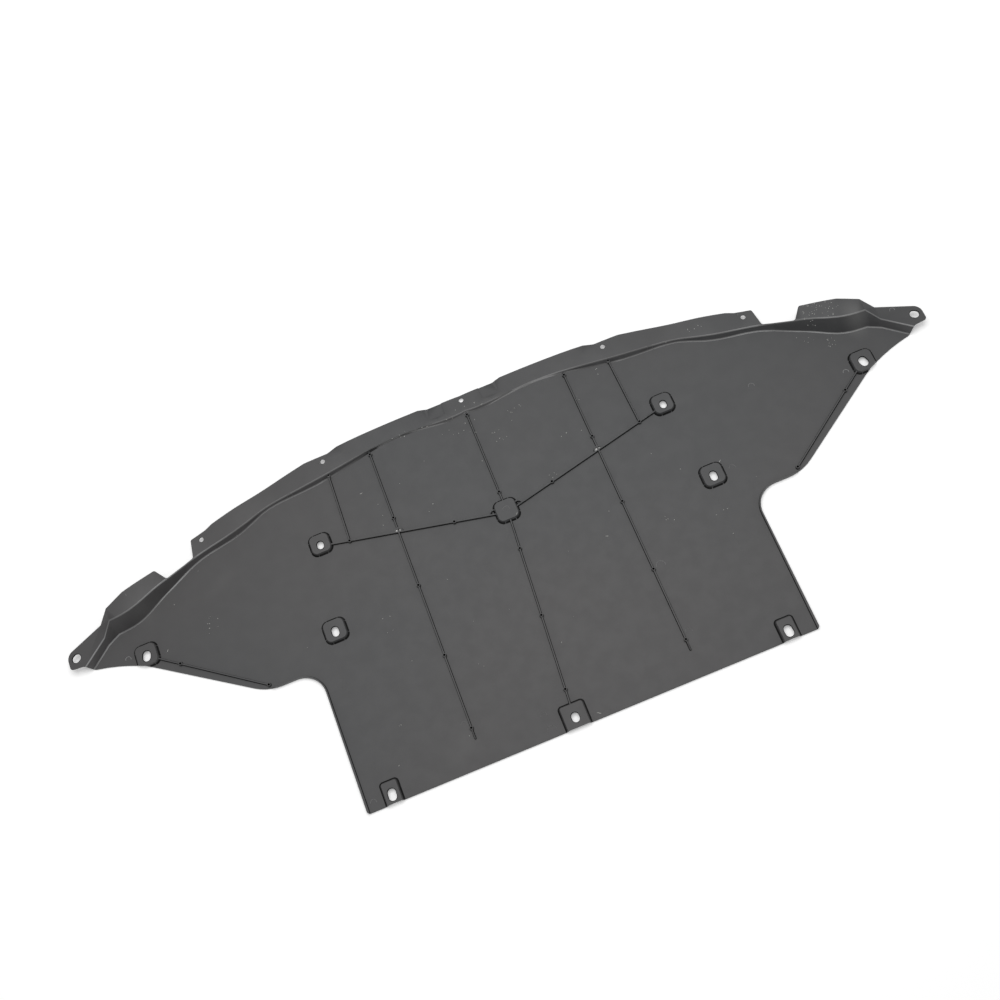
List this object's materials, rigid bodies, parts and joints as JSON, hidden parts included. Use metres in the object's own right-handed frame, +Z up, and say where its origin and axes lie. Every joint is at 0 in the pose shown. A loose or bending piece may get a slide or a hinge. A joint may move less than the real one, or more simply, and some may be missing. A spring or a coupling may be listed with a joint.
{
  "type": "bumper splash shield",
  "caption": "Wide thin moulded undertray panel with a stepped front flange, drooping ears, raised fixing pads with slots and thin stiffening ribs.",
  "frame": {"origin": "middle of the footprint, on the underside of the plate", "axes": "+X across the car, +Y towards the front flange, +Z up from the ribbed side"},
  "size_m": [1.474, 0.586, 0.0346],
  "materials": {
    "moulded_plastic": "fine moulded grain, dull, dark grey"
  },
  "bodies": {
    "root": {"splash_shield_panel": "moulded_plastic"}
  },
  "joints": []
}
